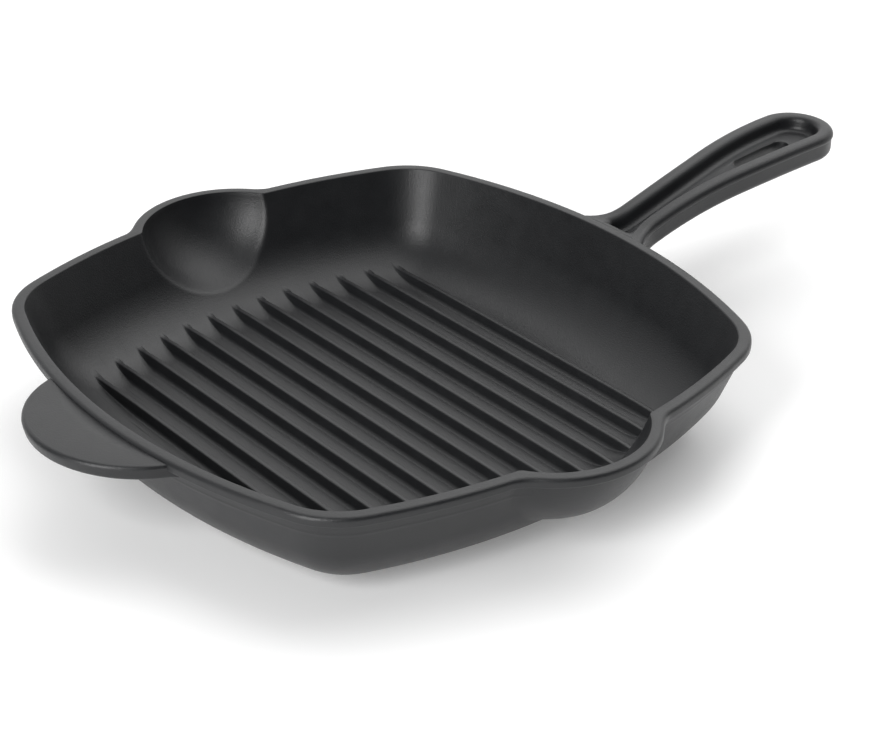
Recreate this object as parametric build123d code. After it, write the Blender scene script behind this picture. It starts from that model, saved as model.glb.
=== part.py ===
from build123d import *
import math
import os

# A square cast-iron grill pan, in millimetres. The origin is the centre of the
# flat underside, +Z is up, +Y runs towards the long handle, and the two pour
# spouts are on -X and +X. The real pan is one casting, so each named feature
# of that casting is a solid of its own, and the features meet face to face.

# Rim plan: four bulged sides joined by round corners
rim_half_x = 132.5
rim_half_y = 130.7
side_bulge_x = 262.0
side_bulge_y = 265.0
rim_corner_radius = 34.7
# How fast the corners sharpen as the plan is drawn in towards the floor
corner_shrink_share = 0.6

# Bowl section, with the lean of the straight wall in degrees from upright
pan_height = 46.0
wall_thickness = 4.1
bead_height = 4.0
bead_overhang = 2.2
wall_draft = 21.2
heel_radius = 36.5
heel_steps = 6

# Rim bead edges
bead_top_rounding = 1.3
bead_under_rounding = 0.7
bead_neck_radius = 6.5

# Pour spouts: hollow balls set into the rim, centred inside it and above it
spout_setback = 27.2
spout_rise = 5.0
spout_bowl_radius = 38.0
spout_wall = 3.4

# Sear ribs, evenly spaced across the flat of the floor
rib_count = 13
rib_side_margin = 6.98
rib_height = 4.4
rib_crest_width = 2.0
rib_foot_width = 4.8
rib_crest_rounding = 0.8
rib_root_radius = 1.6
rib_root_sink = 0.2

# Long handle: its side view is a band between parallel arcs
handle_reach = 129.6
handle_rise = 17.9
handle_sweep_run = 10.5
handle_crown_setback = 10.6
handle_depth = 12.3
handle_waist_half = 12.0
handle_tip_radius = 18.4
handle_flare_radius = 19.5
handle_root_sink = 4.2
handle_rail_width = 7.6
handle_recess_depth = 6.8
handle_recess_setback = 2.6
handle_recess_corner = 3.6
handle_recess_rounding = 2.8
handle_top_rounding = 3.0
handle_under_rounding = 3.5
hang_slot_length = 32.5
hang_slot_width = 7.0
hang_slot_setback = 22.8

# Helper handle opposite: part of a disc, rising a little outwards
helper_disc_radius = 44.0
helper_reach = 26.2
helper_thickness = 6.2
helper_drop = 1.1
helper_rise_angle = 3.4
helper_root_radius = 5.0
helper_top_rounding = 1.8
helper_under_rounding = 2.4

# One overrun for every cutting tool, and one match for finding edges
overrun = 2.0
edge_match = 0.1

bead_foot = pan_height - bead_height
wall_inward = math.sin(math.radians(wall_draft))
wall_upward = math.cos(math.radians(wall_draft))
# The heel arc touches both the straight wall and the flat underside
touch_drop = bead_foot - heel_radius * (1 - wall_inward)
base_inset = bead_overhang + touch_drop * wall_inward / wall_upward + heel_radius * wall_upward
spout_centre_x = rim_half_x - spout_setback
spout_centre_z = pan_height + spout_rise
rib_pitch = 2 * (rim_half_y - base_inset - rib_side_margin) / (rib_count - 1)
handle_crown_run = handle_reach - handle_crown_setback


def wall_inset(height, wall):
    """Inset of the straight wall at a height, one wall inside the outer face."""
    start_inset = bead_overhang + wall_upward * wall
    start_height = bead_foot + wall_inward * wall
    return start_inset + (start_height - height) * wall_inward / wall_upward


def heel_section(wall):
    """Inset and height of plans down the round heel, from the wall to the underside."""
    radius = heel_radius - wall
    first = math.radians(wall_draft)
    points = []
    for step in range(heel_steps + 1):
        angle = first + (math.pi / 2 - first) * step / heel_steps
        inset = base_inset - radius * math.cos(angle)
        points.append((inset, heel_radius - radius * math.sin(angle)))
    return points


def plan_corner(inset):
    """Corner arc of the plan drawn in by inset: its start, middle and end."""
    side_x = side_bulge_x - rim_half_x
    side_y = side_bulge_y - rim_half_y
    corner = rim_corner_radius - corner_shrink_share * inset
    # The corner arc touches both side arcs from inside
    reach_x = side_bulge_x - inset - corner
    reach_y = side_bulge_y - inset - corner
    gap = math.hypot(side_x, side_y)
    along = (reach_x**2 - reach_y**2 + gap**2) / (2 * gap)
    across = math.sqrt(reach_x**2 - along**2)
    centre_x = (across * side_y + along * side_x) / gap - side_x
    centre_y = (across * side_x - along * side_y) / gap
    start = math.atan2(centre_y, centre_x + side_x)
    end = math.atan2(centre_y + side_y, centre_x)
    arc = []
    for angle in (start, (start + end) / 2, end):
        point_x = centre_x + corner * math.cos(angle)
        point_y = centre_y + corner * math.sin(angle)
        arc.append((point_x, point_y))
    return arc


def plan_face(inset, height):
    """The bulged square plan at one height."""
    start, middle, end = plan_corner(inset)
    half_x = rim_half_x - inset
    half_y = rim_half_y - inset

    def arc(points):
        return ThreePointArc(*[(x, y, height) for x, y in points])

    def mirrored(point, sign_x, sign_y):
        return (point[0] * sign_x, point[1] * sign_y)

    edges = []
    for sign_x, sign_y in ((1, 1), (-1, 1), (-1, -1), (1, -1)):
        corner = [mirrored(point, sign_x, sign_y) for point in (start, middle, end)]
        along_y = [corner[2], (0, half_y * sign_y), mirrored(end, -sign_x, sign_y)]
        along_x = [corner[0], (half_x * sign_x, 0), mirrored(start, sign_x, -sign_y)]
        if sign_x == sign_y:
            edges += [arc(corner), arc(along_y)]
        else:
            edges += [arc(corner[::-1]), arc(along_x)]
    return Face(Wire(edges))


def heel_body(wall):
    """The round lower part of the bowl as a full solid, one wall inside the outer face."""
    return Solid.make_loft([plan_face(inset, height).outer_wire() for inset, height in heel_section(wall)])


def bowl_body(wall, top):
    """The whole bowl as a full solid: the straight wall stands on the heel."""
    inset, height = heel_section(wall)[0]
    straight = [plan_face(wall_inset(top, wall), top), plan_face(inset, height)]
    return Solid.make_loft([plan.outer_wire() for plan in straight], ruled=True) + heel_body(wall)


def raise_plan(plan, low, thickness):
    """A flat plan made into a plate that stands on the height low."""
    return extrude(Pos(0, 0, low) * plan, amount=thickness, dir=(0, 0, 1))


def spout_ball(side, radius):
    """Full ball of a pour spout, centred a little above the rim."""
    return Pos(side * spout_centre_x, 0, spout_centre_z) * Sphere(radius)


def pan_cavity():
    """Everything that is open inside the pan, up past the rim."""
    space = bowl_body(wall_thickness, pan_height + overrun)
    for side in (-1, 1):
        space += spout_ball(side, spout_bowl_radius)
    return space


def rim_plan():
    """Outer plan of the bead: the bulged square with both spouts."""
    drop = spout_centre_z - bead_foot
    ball = spout_bowl_radius + spout_wall
    lip_radius = math.sqrt(ball**2 - drop**2) + bead_overhang
    plan = Sketch() + plan_face(0, 0)
    for side in (-1, 1):
        plan += Pos(side * spout_centre_x, 0) * Circle(lip_radius)
    necks = [corner for corner in plan.vertices() if abs(corner.Y) < lip_radius]
    return fillet(necks, bead_neck_radius).face()


def rim_plate():
    """The bead before the pan is hollowed out."""
    plate = raise_plan(rim_plan(), bead_foot, bead_height)
    plate = fillet(plate.faces().sort_by(Axis.Z)[-1].edges(), bead_top_rounding)
    return fillet(plate.faces().sort_by(Axis.Z)[0].edges(), bead_under_rounding)


def make_cooking_floor():
    return raise_plan(plan_face(base_inset, 0), 0, wall_thickness)


def make_side_wall(body, space):
    wall = body - space - make_cooking_floor()
    for side in (-1, 1):
        wall -= spout_ball(side, spout_bowl_radius + spout_wall)
    return wall


def make_pour_spout(side, space):
    """Shell of one spout, from the wall out to its lip under the bead."""
    ball = spout_ball(side, spout_bowl_radius + spout_wall)
    room = Pos(0, 0, bead_foot / 2) * Box(4 * rim_half_x, 4 * rim_half_y, bead_foot)
    return (ball & room) - space


def rib_profile():
    """Cross-section of a rib: a tapered bar with hollow roots and a soft crest.

    It reaches below the floor, where the heel trims it.
    """
    foot = rib_foot_width / 2
    crest = rib_crest_width / 2
    lean = math.atan2(foot - crest, rib_height)
    centre_y = rib_root_radius - rib_root_sink
    touch_y = centre_y - rib_root_radius * math.sin(lean)
    touch_x = foot - touch_y * math.tan(lean)
    centre_x = touch_x + rib_root_radius * math.cos(lean)
    floor_angle = math.pi + math.asin(centre_y / rib_root_radius)
    middle_angle = (math.pi + lean + floor_angle) / 2

    def on_root(angle):
        point_x = centre_x + rib_root_radius * math.cos(angle)
        return (point_x, centre_y + rib_root_radius * math.sin(angle))

    floor_x = on_root(floor_angle)[0]
    root = ThreePointArc((floor_x, 0), on_root(middle_angle), (touch_x, touch_y))
    half = Curve() + [root, Line((touch_x, touch_y), (crest, rib_height))]
    top = Line((crest, rib_height), (-crest, rib_height))
    base = Polyline((floor_x, 0), (floor_x, -overrun), (-floor_x, -overrun), (-floor_x, 0))
    profile = make_face(half + mirror(half, Plane.YZ) + top + base)
    tips = [corner for corner in profile.vertices() if corner.Y > rib_height / 2]
    return fillet(tips, rib_crest_rounding)


def make_sear_rib(number, heel):
    """One rib, trimmed where its ends run into the round heel of the wall."""
    place = (number - (rib_count + 1) / 2) * rib_pitch
    across = Plane(origin=(-rim_half_x, place, wall_thickness), x_dir=(0, 1, 0), z_dir=(1, 0, 0))
    return extrude(across * rib_profile(), amount=2 * rim_half_x) & heel


def handle_outline(shrink):
    """Plan of the long handle, drawn in all round by shrink."""
    waist = handle_waist_half - shrink
    waist_y = rim_half_y - handle_root_sink + handle_flare_radius
    tip = handle_tip_radius - shrink
    tip_y = rim_half_y + handle_reach - handle_tip_radius
    # Root flare: a quarter arc from the rim round to the waist
    flare = handle_flare_radius + shrink
    flare_x = handle_waist_half + handle_flare_radius
    slant = flare * math.cos(math.pi / 4)
    root = (flare_x, waist_y - flare)
    buried = (flare_x, root[1] - 2 * wall_thickness)
    # Two equal arcs swell the handle from the waist to the tip
    swell = handle_tip_radius - handle_waist_half
    length = tip_y - waist_y
    turn = 2 * math.atan2(swell, length)
    swing = length / (2 * math.sin(turn))

    def swell_out(angle):
        radius = swing + shrink
        centre_x = handle_waist_half + swing
        return (centre_x - radius * math.cos(angle), waist_y + radius * math.sin(angle))

    def swell_back(angle):
        radius = swing - shrink
        centre_x = handle_tip_radius - swing
        return (centre_x + radius * math.cos(angle), tip_y - radius * math.sin(angle))

    right = Curve() + [
        Line(buried, root),
        ThreePointArc(root, (flare_x - slant, waist_y - slant), (waist, waist_y)),
        ThreePointArc((waist, waist_y), swell_out(turn / 2), swell_out(turn)),
        ThreePointArc(swell_back(turn), swell_back(turn / 2), (tip, tip_y)),
    ]
    around_tip = ThreePointArc((tip, tip_y), (0, tip_y + tip), (-tip, tip_y))
    across_root = Line(buried, (-buried[0], buried[1]))
    return make_face(right + mirror(right, Plane.YZ) + around_tip + across_root)


def crown_arcs():
    """Radii of the sweep at the root and of the crown, and the angle they share."""
    turn = 2 * math.atan2(handle_rise, handle_crown_run)
    sweep = handle_sweep_run / math.sin(turn)
    crown = (handle_crown_run - handle_sweep_run) / math.sin(turn)
    return sweep, crown, turn


def crown_height(place_y, drop):
    """Height of the handle's top curve, or of the curve that lies drop below it."""
    sweep, crown, turn = crown_arcs()
    run = place_y - rim_half_y
    if run <= 0:
        return pan_height - drop
    if run < (sweep + drop) * math.sin(turn):
        return pan_height + sweep - math.sqrt((sweep + drop) ** 2 - run**2)
    past = run - handle_crown_run
    return pan_height + handle_rise - crown + math.sqrt((crown - drop) ** 2 - past**2)


def handle_band(rise, drop):
    """Side view of the handle, from rise above its top curve to drop below it."""
    sweep, crown, turn = crown_arcs()
    root_y = rim_half_y - handle_root_sink - 3 * wall_thickness
    past = math.asin((handle_crown_setback + overrun) / (crown - handle_depth))

    def sweep_point(angle, offset):
        radius = sweep + offset
        return (0, rim_half_y + radius * math.sin(angle), pan_height + sweep - radius * math.cos(angle))

    def crown_point(angle, offset):
        radius = crown - offset
        centre_y = rim_half_y + handle_crown_run
        centre_z = pan_height + handle_rise - crown
        return (0, centre_y + radius * math.sin(angle), centre_z + radius * math.cos(angle))

    edges = []
    for offset in (-rise, drop):
        root = (0, root_y, pan_height - offset)
        edges.append(Line(root, sweep_point(0, offset)))
        edges.append(ThreePointArc(*[sweep_point(turn * share, offset) for share in (0, 0.5, 1)]))
        crown_span = (-turn, (past - turn) / 2, past)
        edges.append(ThreePointArc(*[crown_point(angle, offset) for angle in crown_span]))
    edges.append(Line((0, root_y, pan_height + rise), (0, root_y, pan_height - drop)))
    edges.append(Line(crown_point(past, -rise), crown_point(past, drop)))
    band = make_face(edges)
    half_width = max(handle_waist_half + handle_flare_radius, handle_tip_radius) + overrun
    return extrude(band, amount=half_width, dir=(1, 0, 0), both=True)


def edges_at_drop(handle, drop):
    """Edges that follow the handle's top curve at one drop, without cross seams."""
    sweep, crown, turn = crown_arcs()
    seams = (rim_half_y, rim_half_y + (sweep + drop) * math.sin(turn))
    found = []
    for edge in handle.edges():
        middle = edge @ 0.5
        level = abs(middle.Z - crown_height(middle.Y, drop)) < edge_match
        outside = middle.Y > rim_half_y - handle_root_sink
        if level and outside and min(abs(middle.Y - seam) for seam in seams) > edge_match:
            found.append(edge)
    return found


def tall_plan(plan):
    """A plan raised through the whole height of the handle."""
    return raise_plan(plan, 0, pan_height + handle_rise + handle_depth)


def handle_recess():
    """The open channel between the rails, rounded at both ends."""
    root_y = rim_half_y + handle_recess_setback
    plan = handle_outline(handle_rail_width) - Rectangle(4 * rim_half_x, 2 * root_y)
    corners = [corner for corner in plan.vertices() if corner.Y < root_y + edge_match]
    plan = fillet(corners, handle_recess_corner)
    return handle_band(overrun, handle_recess_depth) & tall_plan(plan.face())


def hang_slot():
    """Cutter for the slot that the pan hangs by."""
    slot_y = rim_half_y + handle_reach - hang_slot_setback - hang_slot_length / 2
    plan = Pos(0, slot_y) * Rot(0, 0, 90) * SlotOverall(hang_slot_length, hang_slot_width)
    return tall_plan(plan.face())


def make_long_handle(pan_block):
    """The handle: two rails, the channel between them and the hang slot."""
    handle = handle_band(0, handle_depth) & tall_plan(handle_outline(0))
    handle = fillet(edges_at_drop(handle, handle_depth), handle_under_rounding)
    handle -= handle_recess()
    handle = fillet(edges_at_drop(handle, 0), handle_top_rounding)
    handle = fillet(edges_at_drop(handle, handle_recess_depth), handle_recess_rounding)
    return handle - hang_slot() - pan_block


def round_edges(face):
    """The curved edges of a face, without the straight cuts that stay buried."""
    return [edge for edge in face.edges() if edge.geom_type == GeomType.CIRCLE]


def make_helper_handle(pan_block):
    """The half-round grip, filleted into the wall and tipped up a little."""
    top = pan_height - helper_drop
    under = top - helper_thickness
    root_inset = wall_inset(under, wall_thickness)
    centre_y = helper_disc_radius - rim_half_y - helper_reach
    plan = Sketch() + plan_face(root_inset, 0) + Pos(0, centre_y) * Circle(helper_disc_radius)
    corners = plan.vertices().filter_by(lambda corner: corner.Y < 0 and abs(corner.X) < helper_disc_radius)
    plan = fillet(corners, helper_root_radius)
    width = 2 * helper_disc_radius + 4 * helper_root_radius
    plan &= Pos(0, centre_y - helper_disc_radius) * Rectangle(width, 2 * helper_disc_radius)
    grip = raise_plan(plan.face(), under, helper_thickness)
    grip = fillet(round_edges(grip.faces().sort_by(Axis.Z)[-1]), helper_top_rounding)
    grip = fillet(round_edges(grip.faces().sort_by(Axis.Z)[0]), helper_under_rounding)
    hinge = Axis((0, -rim_half_y, top), (1, 0, 0))
    return grip.rotate(hinge, -helper_rise_angle) - pan_block


def make_parts():
    """Every named solid of the pan."""
    space = pan_cavity()
    body = bowl_body(0, bead_foot)
    plate = rim_plate()
    pan_block = body + plate
    parts = {
        "cooking_floor": make_cooking_floor(),
        "side_wall": make_side_wall(body, space),
        "rim_bead": plate - space,
        "left_pour_spout": make_pour_spout(-1, space),
        "right_pour_spout": make_pour_spout(1, space),
        "long_handle": make_long_handle(pan_block),
        "helper_handle": make_helper_handle(pan_block),
    }
    heel = heel_body(wall_thickness)
    for number in range(1, rib_count + 1):
        parts[f"sear_rib_{number:02d}"] = make_sear_rib(number, heel)
    return parts


os.makedirs("parts", exist_ok=True)
for name, shape in make_parts().items():
    export_step(shape, f"parts/{name}.step")
    print(name, round(shape.volume), "mm3")
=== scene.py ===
import math

import bmesh
import bpy
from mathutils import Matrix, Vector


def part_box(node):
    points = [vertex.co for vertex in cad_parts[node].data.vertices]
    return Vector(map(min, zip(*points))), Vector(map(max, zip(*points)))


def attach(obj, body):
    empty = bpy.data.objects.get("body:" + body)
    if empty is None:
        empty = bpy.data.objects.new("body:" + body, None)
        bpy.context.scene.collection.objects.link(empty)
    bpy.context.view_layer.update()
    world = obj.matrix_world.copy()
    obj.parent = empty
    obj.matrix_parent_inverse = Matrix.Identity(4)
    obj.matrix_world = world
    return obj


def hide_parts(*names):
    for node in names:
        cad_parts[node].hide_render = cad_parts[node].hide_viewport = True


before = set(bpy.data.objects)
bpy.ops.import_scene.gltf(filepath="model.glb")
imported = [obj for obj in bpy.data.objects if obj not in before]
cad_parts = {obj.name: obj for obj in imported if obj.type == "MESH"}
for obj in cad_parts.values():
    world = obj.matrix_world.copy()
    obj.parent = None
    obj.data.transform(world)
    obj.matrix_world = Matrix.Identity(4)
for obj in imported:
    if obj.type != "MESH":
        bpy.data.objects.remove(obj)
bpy.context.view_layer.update()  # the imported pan, metres, +Z up, long handle towards +Y
mm = 0.001
rimLow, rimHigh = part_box("rim_bead")

camera = {
    "place": (0.63466, -0.48247, 0.46827),  # metres
    "tilt": 60.548,  # degrees up from looking straight down
    "turn": 50.928,
    "lens": 91.314,  # millimetres, as is the sensor
    "sensor": 36.0,
    "sight": 20.0,  # metres
}


def addCamera():
    bpy.ops.object.camera_add(
        location=camera["place"],
        rotation=(math.radians(camera["tilt"]), 0, math.radians(camera["turn"])),
    )
    eye = bpy.context.object
    eye.data.lens = camera["lens"]
    eye.data.sensor_width = camera["sensor"]
    eye.data.clip_end = camera["sight"]
    bpy.context.scene.camera = eye


addCamera()
print("camera is set")


# Modelling: every piece grows ring by ring from a circle

mergeGap = 0.001 * mm  # points nearer to each other than this become one


def placeRing(piece, points):
    shape = bmesh.from_edit_mesh(piece.data)
    column = shape.verts.layers.int["column"]
    for corner in shape.verts:
        if corner.select:
            corner.co = points[corner[column]]
    bmesh.update_edit_mesh(piece.data, loop_triangles=False, destructive=False)


def startPiece(name, points):
    bpy.ops.object.select_all(action="DESELECT")
    bpy.ops.mesh.primitive_circle_add(vertices=len(points), radius=rimHigh.y, fill_type="NOTHING")
    piece = bpy.context.object
    piece.name = name
    piece.location = (0, 0, 0)
    bpy.ops.object.mode_set(mode="EDIT")
    shape = bmesh.from_edit_mesh(piece.data)
    column = shape.verts.layers.int.new("column")
    for number, corner in enumerate(shape.verts):
        corner[column] = number  # an extruded vertex keeps the number of its column
    bmesh.update_edit_mesh(piece.data)
    placeRing(piece, points)
    return piece


def growRing(piece, points):
    bpy.ops.mesh.extrude_edges_move()
    placeRing(piece, points)


def shrinkRing(share):
    bpy.ops.mesh.extrude_edges_move()
    bpy.ops.transform.resize(value=(share, share, 1), center_override=(0, 0, 0))


def closePiece(piece, *nodes):
    bpy.ops.mesh.select_all(action="SELECT")
    bpy.ops.mesh.remove_doubles(threshold=mergeGap)
    bpy.ops.mesh.select_all(action="SELECT")
    bpy.ops.mesh.fill_holes(sides=0)
    bpy.ops.mesh.select_all(action="SELECT")
    bpy.ops.mesh.normals_make_consistent(inside=False)
    bpy.ops.object.mode_set(mode="OBJECT")
    bpy.ops.object.shade_smooth()
    piece.data.attributes.remove(piece.data.attributes["column"])
    piece.data.materials.append(castIron)
    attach(piece, "root")
    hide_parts(*nodes)


def spaced(first, last, steps):
    return [first + (last - first) * step / steps for step in range(steps + 1)]


def turnArc(centre, radius, first, last, steps):
    # Points on an arc between two angles in degrees
    arc = []
    for turn in spaced(first, last, steps):
        angle = math.radians(turn)
        arc.append((centre[0] + radius * math.cos(angle), centre[1] + radius * math.sin(angle)))
    return arc


def softMax(first, second, blend):
    # The larger of two, rounded where they are nearly equal
    if blend <= 0:
        return max(first, second)
    near = max(blend - abs(first - second), 0) / blend
    return max(first, second) + near * near * blend / 4


# Finish

iron = {
    "coat": "#131416",
    "wornCoat": "#1B1C1E",
    "roughness": 0.43,
    "roughnessSwing": 0.06,  # up and down with the mottle
    "specular": 0.5,
    "grainMm": 0.6,  # sand grain of the mould under the coat, drawn twice as coarse so that it shows
    "grainDepthMm": 0.1,
    "grainDetail": 2.0,
    "grainRoughness": 0.6,
    "mottleMm": 9.0,  # slow change of tone and gloss across the coat
    "mottleDetail": 3.0,
}


def hexColour(text):
    channels = []
    for start in (1, 3, 5):
        value = int(text[start:start + 2], 16) / 255
        channels.append(value / 12.92 if value <= 0.04045 else ((value + 0.055) / 1.055) ** 2.4)
    return (*channels, 1)


def addNode(tree, kind, settings=None, links=None):
    node = tree.nodes.new(kind)
    for name, value in (settings or {}).items():
        if isinstance(name, int) or name in node.inputs:
            node.inputs[name].default_value = value
        else:
            setattr(node, name, value)
    for name, source in (links or {}).items():
        tree.links.new(source, node.inputs[name])
    return node


def makeCastIron():
    # Sand-cast iron under a thin matt black coat: a soft broad sheen broken up by fine grain
    material = bpy.data.materials.new("castIron")
    material.use_nodes = True
    tree = material.node_tree
    tree.nodes.clear()
    place = addNode(tree, "ShaderNodeTexCoord").outputs["Object"]
    grain = addNode(tree, "ShaderNodeTexNoise", {
        "Scale": 1 / (iron["grainMm"] * mm), "Detail": iron["grainDetail"],
        "Roughness": iron["grainRoughness"]}, {"Vector": place})
    mottle = addNode(tree, "ShaderNodeTexNoise", {
        "Scale": 1 / (iron["mottleMm"] * mm), "Detail": iron["mottleDetail"]}, {"Vector": place})
    colour = addNode(tree, "ShaderNodeMix", {"data_type": "RGBA"}, {"Factor": mottle.outputs["Fac"]})
    for socket in colour.inputs:
        if socket.type == "RGBA":
            socket.default_value = hexColour(iron["coat"] if socket.name == "A" else iron["wornCoat"])
    rough = addNode(tree, "ShaderNodeMapRange", {
        "To Min": iron["roughness"] - iron["roughnessSwing"],
        "To Max": iron["roughness"] + iron["roughnessSwing"]}, {"Value": mottle.outputs["Fac"]})
    bump = addNode(tree, "ShaderNodeBump", {
        "Strength": 1.0, "Distance": iron["grainDepthMm"] * mm}, {"Height": grain.outputs["Fac"]})
    shader = addNode(tree, "ShaderNodeBsdfPrincipled", {
        "Specular IOR Level": iron["specular"]}, {
        "Base Color": next(socket for socket in colour.outputs if socket.type == "RGBA"),
        "Roughness": rough.outputs["Result"], "Normal": bump.outputs["Normal"]})
    addNode(tree, "ShaderNodeOutputMaterial", None, {"Surface": shader.outputs["BSDF"]})
    return material


castIron = makeCastIron()
print("material is made")


# Bowl: one closed shell with its bead, both spouts and the flat floor

bowl = {  # millimetres
    "columns": 576,  # points in each ring
    "spoutDensityShare": 0.45,  # how far the columns crowd towards the spouts
    "halfX": 132.5,
    "halfY": rimHigh.y / mm,
    "bulgeX": 262.0,  # radius of the curved side
    "bulgeY": 265.0,
    "cornerRadius": 34.7,
    "cornerShrinkShare": 0.6,  # what the corner radius loses with each millimetre of inset
    "height": rimHigh.z / mm,
    "wall": 4.1,
    "baseInset": 43.5,  # from the rim in to the edge of the flat base
    "heelRadius": 36.5,
    "beadFoot": rimLow.z / mm,
    "beadOverhang": 2.2,  # how far the bead stands out over the wall
    "beadOuterRound": 1.8,
    "beadInnerRound": 0.7,
    "beadUnderRound": 0.6,
    "beadUnderStart": 250,  # degrees
    "beadStartShares": (0.2, 0.25),  # of the round under the bead: its first step out, and down
    "lipTrim": 0.05,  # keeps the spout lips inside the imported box
    "spoutX": 105.3,  # centre of the ball that the spout is part of
    "spoutZ": 51.0,
    "spoutInside": 38.0,
    "spoutOutside": 41.4,
    "creaseBlend": 1.2,  # crisp at the rim, softer towards the foot of the spout
    "creaseSoften": 9.0,
    "neckBlend": 5.0,
    "partingZ": 36.0,  # the faint ridge where the halves of the mould met
    "partingRise": 0.12,
    "partingHalf": 0.5,
    "wallStart": 0.3,  # first ring of the inner wall, under the rounding of the bead
    "baseShares": (0.2, 0.6, 0.95),  # rings across the flat base, from the middle out
    "floorShares": (0.95, 0.6, 0.35),  # each ring on the flat floor as a share of the one before
    "heelRingsOutside": 34,
    "heelRingsInside": 50,
    "wallRingsUnderRidge": 11,
    "wallRingsOverRidge": 4,
    "wallRingsInside": 18,
    "beadUnderRings": 4,
    "beadOuterRings": 6,
    "beadInnerRings": 4,
}


def columnAngle(number):
    angle = 2 * math.pi * number / bowl["columns"]
    return angle - bowl["spoutDensityShare"] / 2 * math.sin(2 * angle)


def planShape(inset):
    # One quarter of the plan: an arc for each side, and a corner arc that touches both
    sideX = bowl["bulgeX"] - bowl["halfX"]
    sideY = bowl["bulgeY"] - bowl["halfY"]
    corner = bowl["cornerRadius"] - bowl["cornerShrinkShare"] * inset
    arcX = bowl["bulgeX"] - inset
    arcY = bowl["bulgeY"] - inset
    gap = math.hypot(sideX, sideY)
    along = ((arcX - corner) ** 2 - (arcY - corner) ** 2 + gap**2) / (2 * gap)
    across = math.sqrt((arcX - corner) ** 2 - along**2)
    centreX = (across * sideY + along * sideX) / gap - sideX
    centreY = (across * sideX - along * sideY) / gap
    turns = []
    for turn in (math.atan2(centreY, centreX + sideX), math.atan2(centreY + sideY, centreX)):
        touchX = centreX + corner * math.cos(turn)
        touchY = centreY + corner * math.sin(turn)
        turns.append(math.atan2(touchY, touchX))
    return {"sideX": sideX, "sideY": sideY, "arcX": arcX, "arcY": arcY, "corner": corner,
            "centre": (centreX, centreY), "turns": turns}


def planReach(plan, angle):
    # From the middle of the pan out to the plan, in one direction
    alongX, alongY = abs(math.cos(angle)), abs(math.sin(angle))
    folded = math.atan2(alongY, alongX)
    if folded <= plan["turns"][0]:
        return -plan["sideX"] * alongX + math.sqrt(plan["arcX"] ** 2 - (plan["sideX"] * alongY) ** 2)
    if folded >= plan["turns"][1]:
        return -plan["sideY"] * alongY + math.sqrt(plan["arcY"] ** 2 - (plan["sideY"] * alongX) ** 2)
    x, y = plan["centre"]
    return x * alongX + y * alongY + math.sqrt(plan["corner"] ** 2 - (x * alongY - y * alongX) ** 2)


def spoutReach(angle, radius):
    alongX, alongY = abs(math.cos(angle)), abs(math.sin(angle))
    inside = radius**2 - (bowl["spoutX"] * alongY) ** 2
    return bowl["spoutX"] * alongX + math.sqrt(inside) if inside > 0 else 0


def bowlRing(inset, height, spoutRadius, blend):
    plan = planShape(inset)
    points = []
    for number in range(bowl["columns"]):
        angle = columnAngle(number)
        reach = planReach(plan, angle)
        if spoutRadius > 0:
            reach = softMax(reach, spoutReach(angle, spoutRadius), blend)
        points.append((reach * math.cos(angle) * mm, reach * math.sin(angle) * mm, height * mm))
    return points


def spoutAt(height, radius):
    # Radius of the level slice through the ball of the spout
    drop = bowl["spoutZ"] - height
    return math.sqrt(radius**2 - drop**2) if radius > abs(drop) else 0


def draftAngle():
    # Direction of the straight wall, from the foot of the bead down to where it touches the heel
    run = bowl["baseInset"] - bowl["beadOverhang"]
    rise = bowl["heelRadius"] - bowl["beadFoot"]
    return math.atan2(rise, run) - math.asin(bowl["heelRadius"] / math.hypot(run, rise))


def wallLean():
    # How far the straight wall leans out from upright
    turn = draftAngle()
    return math.atan2(math.cos(turn), -math.sin(turn))


def wallInset(height, depth):
    # Inset of the straight wall at a height, on its outside or some depth into the iron
    turn = draftAngle()
    inward, upward = math.cos(turn), math.sin(turn)
    start = bowl["beadOverhang"] - upward * depth
    return start + (height - bowl["beadFoot"] - inward * depth) * inward / upward


def heelArc(depth, steps):
    radius = bowl["heelRadius"] - depth
    arc = []
    for angle in spaced(wallLean(), math.pi / 2, steps):
        inset = bowl["baseInset"] - radius * math.cos(angle)
        arc.append((inset, bowl["heelRadius"] - radius * math.sin(angle)))
    return arc


def outerRings():
    # From the flat base round the heel and up the wall to the bead
    rings = heelArc(0, bowl["heelRingsOutside"])[::-1]
    foot = bowl["beadFoot"] - bowl["beadUnderRound"]
    ridge = bowl["partingZ"]
    half = bowl["partingHalf"]
    for height in spaced(rings[-1][1], ridge - half, bowl["wallRingsUnderRidge"])[1:]:
        rings.append((wallInset(height, 0), height))
    rings.append((wallInset(ridge, 0) - bowl["partingRise"], ridge))
    for height in spaced(ridge + half, foot, bowl["wallRingsOverRidge"]):
        rings.append((wallInset(height, 0), height))
    outside = bowl["spoutOutside"]
    return [(inset, height, spoutAt(height, outside), bowl["neckBlend"]) for inset, height in rings]


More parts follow.
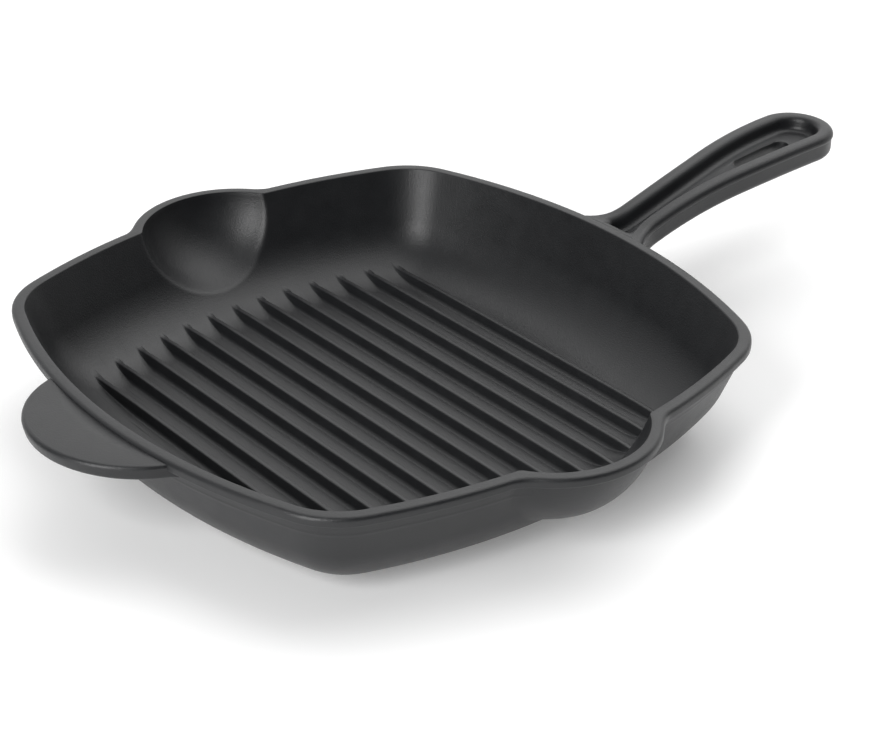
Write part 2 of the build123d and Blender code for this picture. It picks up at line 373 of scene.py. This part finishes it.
def beadRings():
    # Round under the bead, up its outside, over the top and down to the inner wall
    under = bowl["beadUnderRound"]
    outer = bowl["beadOuterRound"]
    inner = bowl["beadInnerRound"]
    foot = bowl["beadFoot"]
    top = bowl["height"]
    lip = wallInset(top, bowl["wall"])
    outShare, downShare = bowl["beadStartShares"]
    rings = [(bowl["beadOverhang"] - under * outShare, foot - under * downShare)]
    rings += turnArc((under, foot + under), under, bowl["beadUnderStart"], 180, bowl["beadUnderRings"])
    rings += turnArc((outer, top - outer), outer, 180, 90, bowl["beadOuterRings"])
    lean = wallLean()  # the inner rounding runs smoothly into the leaning wall
    centre = lip - inner * (1 - math.sin(lean)) / math.cos(lean)
    rings += turnArc((centre, top - inner), inner, 90, math.degrees(lean), bowl["beadInnerRings"])
    outside = spoutAt(foot, bowl["spoutOutside"]) + bowl["beadOverhang"] - bowl["lipTrim"]
    inside = spoutAt(top, bowl["spoutInside"])
    made = []
    for inset, height in rings:
        share = min(max(inset / lip, 0), 1)
        radius = outside + (inside - outside) * share
        blend = bowl["neckBlend"] + (bowl["creaseBlend"] - bowl["neckBlend"]) * share
        made.append((inset, height, radius, blend))
    return made


def innerRings():
    # Down the inside of the wall and round the heel to the edge of the floor
    arc = heelArc(bowl["wall"], bowl["heelRingsInside"])
    start = bowl["height"] - bowl["beadInnerRound"] * (1 - math.sin(wallLean())) - bowl["wallStart"]
    heights = spaced(start, arc[0][1], bowl["wallRingsInside"])[:-1]
    rings = [(wallInset(height, bowl["wall"]), height) for height in heights] + arc
    made = []
    for inset, height in rings:
        share = (bowl["height"] - height) / bowl["height"]
        blend = bowl["creaseBlend"] + bowl["creaseSoften"] * share**2
        made.append((inset, height, spoutAt(height, bowl["spoutInside"]), blend))
    return made


def makeBowl():
    rings = [bowlRing(*ring) for ring in outerRings() + beadRings() + innerRings()]
    base = [[(x * share, y * share, z) for x, y, z in rings[0]] for share in bowl["baseShares"]]
    piece = startPiece("bowl", base[0])
    for ring in base[1:] + rings:
        growRing(piece, ring)
    for share in bowl["floorShares"]:
        shrinkRing(share)
    closePiece(piece, "cooking_floor", "side_wall", "rim_bead", "left_pour_spout", "right_pour_spout")


makeBowl()
print("bowl is made")


# Ribs: a section carried along X and sunk where the heel rises through it

rib = {  # millimetres
    "count": 13,
    "sideMargin": 6.98,  # from the middle of the last rib to the edge of the flat floor
    "height": 4.4,
    "crestHalf": 1.0,
    "footHalf": 2.4,
    "crestRound": 0.8,
    "rootRound": 2.0,
    "marginLift": 0.03,  # the margins lie this much over the floor, out to the middle of the valley
    "edge": 0.02,  # a narrow last strip keeps the shading even up to the edge
    "endBlend": 1.5,
    "endBlendShare": 0.7,  # of the rise of the heel, before endBlend is reached
    "endFallShare": 0.28,  # of the height, lost by the crest as it meets the heel
    "endRun": 0.4,  # from the last ring to the buried one
    "endSink": 0.5,
    "crestSteps": 6,
    "rootSteps": 9,
    "marginSteps": 5,
    "flatStations": 6,
    "heelStations": 26,
    "endSearch": 0.25,
    "startSearch": 0.5,
    "halvings": 14,
}


def ribPitch():
    return 2 * (bowl["halfY"] - bowl["baseInset"] - rib["sideMargin"]) / (rib["count"] - 1)


def ribOutline():
    # Half of the section, from the middle of the crest to the middle of the valley
    lean = math.atan2(rib["footHalf"] - rib["crestHalf"], rib["height"])
    tangent = 1 / math.tan((math.pi / 2 + lean) / 2)
    crest, root = rib["crestRound"], rib["rootRound"]
    flat = rib["crestHalf"] - crest * tangent
    foot = rib["footHalf"] + root * tangent
    turn = 90 - math.degrees(lean)
    valley = ribPitch() / 2
    points = [(0, rib["height"]), (flat / 2, rib["height"])]
    points += turnArc((flat, rib["height"] - crest), crest, 90, 90 - turn, rib["crestSteps"])
    points += turnArc((foot, root), root, 270 - turn, 270, rib["rootSteps"])
    points += [(across, 0) for across in spaced(foot, valley - rib["edge"], rib["marginSteps"])[1:]]
    points.append((valley, 0))
    return points


def floorHeight(x, y):
    # The bowl's inside under a point: flat, or on the heel, whose inset there is found by halving
    reach = math.hypot(x, y)
    angle = math.atan2(y, x)
    low, high = 0, bowl["baseInset"]
    if reach <= planReach(planShape(high), angle):
        return bowl["wall"]
    for _ in range(rib["halvings"]):
        middle = (low + high) / 2
        if reach < planReach(planShape(middle), angle):
            low = middle
        else:
            high = middle
    radius = bowl["heelRadius"] - bowl["wall"]
    away = min(bowl["baseInset"] - (low + high) / 2, radius)
    return bowl["heelRadius"] - math.sqrt(radius**2 - away**2)


def ribSection(x, y, outline, sink, fade):
    floor = bowl["wall"]
    points = []
    for across, rise in outline:
        ground = floorHeight(x, y + across)
        blend = min(rib["endBlend"], max(ground - floor, 0) * rib["endBlendShare"])
        crest = floor + rise * (1 - rib["endFallShare"] * fade**2)
        height = softMax(ground + rib["marginLift"], crest, blend) - sink
        points.append((x * mm, (y + across) * mm, height * mm))
    for across in (outline[-1][0], outline[0][0]):
        buried = floorHeight(x, y + across) - floor / 2
        points.append((x * mm, (y + across) * mm, buried * mm))
    return points


def makeRib(number):
    y = (number - (rib["count"] + 1) / 2) * ribPitch()
    half = ribOutline()
    outline = [(-across, rise) for across, rise in reversed(half)] + half[1:]
    end = bowl["halfX"] / 2
    while floorHeight(end, y) < bowl["wall"] + rib["height"] + rib["endBlend"]:
        end += rib["endSearch"]
    start = end
    while floorHeight(start, y) > bowl["wall"]:
        start -= rib["startSearch"]
    runs = spaced(start, end, rib["heelStations"]) + [end + rib["edge"]]
    flat = spaced(-start, start, rib["flatStations"])[1:-1]
    past = end + rib["endRun"]
    piece = startPiece(f"searRib{number:02d}", ribSection(-past, y, outline, rib["endSink"], 1))
    for x in [-run for run in reversed(runs)] + flat + runs:
        fade = max((abs(x) - start) / (end - start), 0)
        growRing(piece, ribSection(x, y, outline, 0, fade))
    growRing(piece, ribSection(past, y, outline, rib["endSink"], 1))
    closePiece(piece, f"sear_rib_{number:02d}")


for number in range(1, rib["count"] + 1):
    makeRib(number)
print("ribs are made")


# Long handle: rings run round the outline, over both rails and down into the channel

grip = {  # millimetres
    "rootY": 127.8,
    "rootSlope": 0.388,  # the root draws back under the rim, as the wall does
    "channelRootY": 125.7,
    "channelCorner": 3.6,
    "reach": 129.57,
    "rise": 17.9,
    "sweepRun": 10.5,  # from the rim to the end of the upward sweep
    "crownSetback": 10.6,  # from the highest point to the tip
    "depth": 12.3,
    "waistHalf": 12.0,
    "tipRadius": 18.4,
    "flareRadius": 19.5,
    "flareSink": 4.2,
    "sideInset": 0.6,
    "underRound": 3.5,
    "ledge": ((0, 1.2), (0.1, 0.8), (0.45, 0.4)),  # out from the side, and down from the rail's rounding
    "railWidth": 7.6,
    "railOuterRound": 3.0,
    "railInnerRound": 3.0,
    "railInnerTurn": (280, 355),  # degrees
    "recessDepth": 6.8,
    "channelRound": 2.8,
    "channelTurn": (172, 90),  # degrees
    "channelEase": 0.2,  # between the rounding of the rail and that of the channel
    "slotLength": 32.5,
    "slotWidth": 7.0,
    "slotSetback": 22.8,
    "slotTopEdge": ((0.35, 0), (0.1, 0.1), (0, 0.35)),  # how far each ring of its edge grows and sinks
    "slotUnderEdge": ((0, 0.2), (0.06, 0.06), (0.2, 0)),  # how far each grows and stays up
    "sink": 0.02,  # keeps its top just under that of the rim, which it runs into
    "flareColumns": 16,
    "sideColumns": 46,
    "tipColumns": 34,
    "rootColumns": 22,
    "slotNearColumns": 44,
    "slotSideColumns": 13,
    "underRings": 7,
    "railOuterRings": 9,
    "railInnerRings": 7,
    "channelRings": 9,
    "spanRings": 16,  # between the slot and the edge of the face around it
}


def crownHeight(y, drop):
    # The top line or a line below it: level as far as the rim, a hollow sweep up, then the crown
    crownRun = grip["reach"] - grip["crownSetback"]
    turn = 2 * math.atan2(grip["rise"], crownRun)
    sweep = grip["sweepRun"] / math.sin(turn)
    crown = (crownRun - grip["sweepRun"]) / math.sin(turn)
    run = y - bowl["halfY"]
    if run <= 0:
        return bowl["height"] - drop
    if run < (sweep + drop) * math.sin(turn):
        return bowl["height"] + sweep - math.sqrt((sweep + drop) ** 2 - run**2)
    past = run - crownRun
    return bowl["height"] + grip["rise"] - crown + math.sqrt((crown - drop) ** 2 - past**2)


def waistAndTip():
    waistY = bowl["halfY"] - grip["flareSink"] + grip["flareRadius"]
    return waistY, bowl["halfY"] + grip["reach"] - grip["tipRadius"]


def gripHalf(y, shrink):
    waistY, tipY = waistAndTip()
    swell = grip["tipRadius"] - grip["waistHalf"]
    length = tipY - waistY
    turn = 2 * math.atan2(swell, length)
    swing = length / (2 * math.sin(turn))
    if y < waistY:
        radius = grip["flareRadius"] + shrink
        return grip["waistHalf"] + grip["flareRadius"] - math.sqrt(max(radius**2 - (waistY - y) ** 2, 0))
    if y < waistY + length / 2:
        return grip["waistHalf"] + swing - math.sqrt((swing + shrink) ** 2 - (y - waistY) ** 2)
    return grip["tipRadius"] - swing + math.sqrt((swing - shrink) ** 2 - (tipY - y) ** 2)


def gripRing(shrink, drop, rootY, cornerRound):
    waistY, tipY = waistAndTip()
    side = []
    for step in range(grip["flareColumns"]):
        turn = math.pi / 2 * step / grip["flareColumns"]
        side.append(waistY - (waistY - rootY) * math.cos(turn))
    side += spaced(waistY, tipY, grip["sideColumns"])[:-1]
    right = []
    for y in side:
        half = gripHalf(y, shrink)
        into = cornerRound - (y - rootY)
        if into > 0:
            half -= cornerRound - math.sqrt(cornerRound**2 - into**2)
        right.append((half, y))
    around = turnArc((0, tipY), grip["tipRadius"] - shrink, 0, 180, grip["tipColumns"])
    left = [(-x, y) for x, y in reversed(right)]
    root = [(x, rootY) for x in spaced(-right[0][0], right[0][0], grip["rootColumns"])][1:-1]
    ring = []
    for x, y in right + around + left + root:
        bulge = 0
        if cornerRound == 0:  # the buried root keeps to the bulge of the rim
            bulge = x**2 / (2 * bowl["bulgeY"]) * max(waistY - y, 0) / (waistY - rootY)
        ring.append((x, y - bulge, drop))
    return ring


def outsideRing(shrink, drop):
    return gripRing(shrink, drop, grip["rootY"] - grip["rootSlope"] * drop, 0)


def channelRing(shrink, drop):
    return gripRing(shrink, drop, grip["channelRootY"] + shrink, grip["channelCorner"])


def slotRing(grow, drop):
    half = grip["slotWidth"] / 2
    far = bowl["halfY"] + grip["reach"] - grip["slotSetback"] - half
    near = far + 2 * half - grip["slotLength"]
    nearCount = grip["slotNearColumns"]
    farCount = grip["flareColumns"] + grip["sideColumns"] - nearCount - grip["slotSideColumns"]
    nearArc = turnArc((0, near), half + grow, 180, 360, 2 * nearCount + grip["rootColumns"])
    farArc = turnArc((0, far), half + grow, 0, 180, 2 * farCount + grip["tipColumns"])
    straight = [(half + grow, y) for y in spaced(near, far, grip["slotSideColumns"])][:-1]
    right = nearArc[-nearCount - 1:-1] + straight + farArc[:farCount]
    left = farArc[-farCount:] + [(-x, y) for x, y in reversed(straight)] + nearArc[1:nearCount + 1]
    root = nearArc[nearCount + 1:-nearCount - 1]
    return [(x, y, drop) for x, y in right + farArc[farCount:-farCount] + left + root]


def bentRing(ring):
    return [(x * mm, y * mm, (crownHeight(y, drop) - grip["sink"]) * mm) for x, y, drop in ring]


def betweenRings(slot, edge):
    # From the slot out to the edge: first along the handle, then across it, never wider than the edge
    rings = []
    for share in spaced(0, 1, grip["spanRings"])[1:-1]:
        along = min(2 * share, 1)
        across = max(2 * share - 1, 0)
        ring = []
        for (slotX, slotY, drop), (edgeX, edgeY, _) in zip(slot, edge):
            middleX = slotX if abs(slotX) < abs(edgeX) else edgeX
            x = slotX + (middleX - slotX) * along + (edgeX - middleX) * across
            ring.append((x, slotY + (edgeY - slotY) * along, drop))
        rings.append(ring)
    return rings


def undersideRings():
    # From the slot across the underside, round its edge and up the side to the ledge under the rail
    depth = grip["depth"]
    side = grip["sideInset"]
    under = grip["underRound"]
    slot = slotRing(grip["slotUnderEdge"][-1][0], depth)
    edge = turnArc((side + under, depth - under), under, 90, 180, grip["underRings"])
    rings = [slot] + betweenRings(slot, outsideRing(side + under, depth))
    rings += [outsideRing(shrink, drop) for shrink, drop in edge]
    rings += [outsideRing(side - out, grip["railOuterRound"] + down) for out, down in grip["ledge"]]
    return rings


def railRings():
    # Over the rail and down into the channel
    floor = grip["recessDepth"]
    outer = grip["railOuterRound"]
    inner = grip["railInnerRound"]
    low = grip["channelRound"]
    rail = grip["railWidth"]
    foot = rail + low + grip["channelEase"]
    over = turnArc((outer, outer), outer, 180, 270, grip["railOuterRings"])
    down = turnArc((rail - inner, inner), inner, *grip["railInnerTurn"], grip["railInnerRings"])
    down += turnArc((foot, floor - low), low, *grip["channelTurn"], grip["channelRings"])
    rings = [outsideRing(shrink, drop) for shrink, drop in over]
    return rings + [channelRing(shrink, drop) for shrink, drop in down]


def slotRings(channel):
    # From the channel's edge across its floor and down through the slot
    top = [slotRing(grow, grip["recessDepth"] + down) for grow, down in grip["slotTopEdge"]]
    under = [slotRing(grow, grip["depth"] - up) for grow, up in grip["slotUnderEdge"]]
    return betweenRings(top[0], channel)[::-1] + top + under


def makeLongHandle():
    rings = undersideRings() + railRings()
    rings += slotRings(rings[-1])
    piece = startPiece("longHandle", bentRing(rings[0]))
    for ring in rings[1:]:
        growRing(piece, bentRing(ring))
    closePiece(piece, "long_handle")


makeLongHandle()
print("long handle is made")


# Helper handle: a section carried round the half disc

tab = {  # millimetres
    "discRadius": 44.0,
    "reach": 26.2,
    "thickness": 6.2,
    "drop": 1.1,  # under the top of the rim
    "rise": 3.4,  # degrees
    "spread": 25.0,  # degrees each side of -Y
    "neckBlend": 4.5,
    "topRound": 1.8,
    "underRound": 2.4,
    "draft": 0.5,
    "buriedInset": 5.0,
    "rootInset": 4.0,
    "flatShare": 0.4,  # of the width, from the root to the point on each flat face
    "roundShare": 0.45,  # of the width, at most, for each rounding
    "topSteps": 5,
    "underSteps": 6,
    "sections": 150,
}


def tabSection(angle):
    centre = bowl["halfY"] + tab["reach"] - tab["discRadius"]
    turn = angle + math.pi / 2
    inside = tab["discRadius"] ** 2 - (centre * math.sin(turn)) ** 2
    disc = centre * math.cos(turn) + math.sqrt(inside) if inside > 0 else 0
    inner = planReach(planShape(tab["buriedInset"]), angle)
    outer = softMax(planReach(planShape(tab["rootInset"]), angle), disc, tab["neckBlend"])
    room = (outer - inner) * tab["roundShare"]
    top = min(tab["topRound"], room)
    under = min(tab["underRound"], room)
    draft = min(tab["draft"], room / 2)
    thick = tab["thickness"]
    flat = inner + (outer - inner) * tab["flatShare"]
    profile = [(inner, 0), (flat, 0)]
    profile += turnArc((outer - top, -top), top, 90, 0, tab["topSteps"])
    profile += turnArc((outer - draft - under, under - thick), under, 0, -90, tab["underSteps"])
    profile += [(flat, -thick), (inner, -thick)]
    points = []
    for reach, rise in profile:
        x, y = reach * math.cos(angle), reach * math.sin(angle)
        tilt = (-y - bowl["halfY"]) * math.tan(math.radians(tab["rise"]))
        points.append((x * mm, y * mm, (bowl["height"] - tab["drop"] + rise + tilt) * mm))
    return points


def makeHelperHandle():
    spread = math.radians(tab["spread"])
    sections = [tabSection(turn - math.pi / 2) for turn in spaced(-spread, spread, tab["sections"])]
    piece = startPiece("helperHandle", sections[0])
    for section in sections[1:]:
        growRing(piece, section)
    closePiece(piece, "helper_handle")


makeHelperHandle()
print("helper handle is made")


# Stage and lights

stage = {
    "floorHalf": 3.0,
    "floorColour": "#F2F2F2",
    "floorGlow": 0.16,  # what the camera sees on top of the lit floor
    "floorShine": 0.2,  # what the iron's gloss sees of it
    "backdropWay": (-0.68, 0.66, 0.3),  # the bright side of the room, away from the camera
    "backdropEdge": -0.2,  # where it fades out, as the cosine of the angle from its middle
    "backdropGlow": 1.55,
    "roomGlow": 0.06,
}

lamps = {  # place, size in metres, watts
    "topSoft": {"place": (-0.1, 0.8, 1.6), "size": (2.0, 1.7), "power": 17},
    "frontSoft": {"place": (0.436, -1.34, 0.75), "size": (0.5, 1.3), "power": 24},
}


def addFloor():
    # Matt white table: it takes the shadow, and its glow makes it white for the camera
    bpy.ops.object.select_all(action="DESELECT")
    bpy.ops.mesh.primitive_plane_add(size=2 * stage["floorHalf"], location=(0, 0, 0))
    floor = bpy.context.object
    floor.name = "floor"
    material = bpy.data.materials.new("whiteTable")
    material.use_nodes = True
    tree = material.node_tree
    tree.nodes.clear()
    ray = addNode(tree, "ShaderNodeLightPath")
    paint = addNode(tree, "ShaderNodeBsdfDiffuse", {"Color": hexColour(stage["floorColour"])})
    shine = addNode(tree, "ShaderNodeMath", {"operation": "MULTIPLY", 1: stage["floorShine"]}, {
        0: ray.outputs["Is Glossy Ray"]})
    strength = addNode(tree, "ShaderNodeMath", {"operation": "MULTIPLY_ADD", 1: stage["floorGlow"]}, {
        0: ray.outputs["Is Camera Ray"], 2: shine.outputs[0]})
    glow = addNode(tree, "ShaderNodeEmission", None, {"Strength": strength.outputs[0]})
    both = addNode(tree, "ShaderNodeAddShader", None, {0: paint.outputs[0], 1: glow.outputs[0]})
    addNode(tree, "ShaderNodeOutputMaterial", None, {"Surface": both.outputs[0]})
    floor.data.materials.append(material)


def addLamp(name, lamp):
    bpy.ops.object.light_add(type="AREA", location=lamp["place"])
    light = bpy.context.object
    light.name = name
    light.data.shape = "RECTANGLE"
    light.data.size, light.data.size_y = lamp["size"]
    light.data.energy = lamp["power"]
    aim = -light.location  # at the middle of the pan
    light.rotation_euler = aim.to_track_quat("-Z", "Y").to_euler()


def addWorld():
    # White for the camera, and for the iron a dim room with one bright side
    world = bpy.data.worlds.new("studio")
    bpy.context.scene.world = world
    world.use_nodes = True
    tree = world.node_tree
    tree.nodes.clear()
    way = addNode(tree, "ShaderNodeTexCoord").outputs["Generated"]
    facing = addNode(tree, "ShaderNodeVectorMath", {
        "operation": "DOT_PRODUCT", 1: stage["backdropWay"]}, {0: way})
    glow = addNode(tree, "ShaderNodeMapRange", {
        "interpolation_type": "SMOOTHSTEP", "From Min": stage["backdropEdge"], "From Max": 1.0,
        "To Min": stage["roomGlow"], "To Max": stage["backdropGlow"]}, {
        "Value": facing.outputs["Value"]})
    ray = addNode(tree, "ShaderNodeLightPath")
    seen = addNode(tree, "ShaderNodeMath", {"operation": "MAXIMUM"}, {
        0: ray.outputs["Is Camera Ray"], 1: glow.outputs["Result"]})
    sky = addNode(tree, "ShaderNodeBackground", None, {"Strength": seen.outputs[0]})
    addNode(tree, "ShaderNodeOutputWorld", None, {"Surface": sky.outputs[0]})


addFloor()
for name, lamp in lamps.items():
    addLamp(name, lamp)
addWorld()
bpy.context.scene.view_settings.view_transform = "Standard"
print("stage is set")
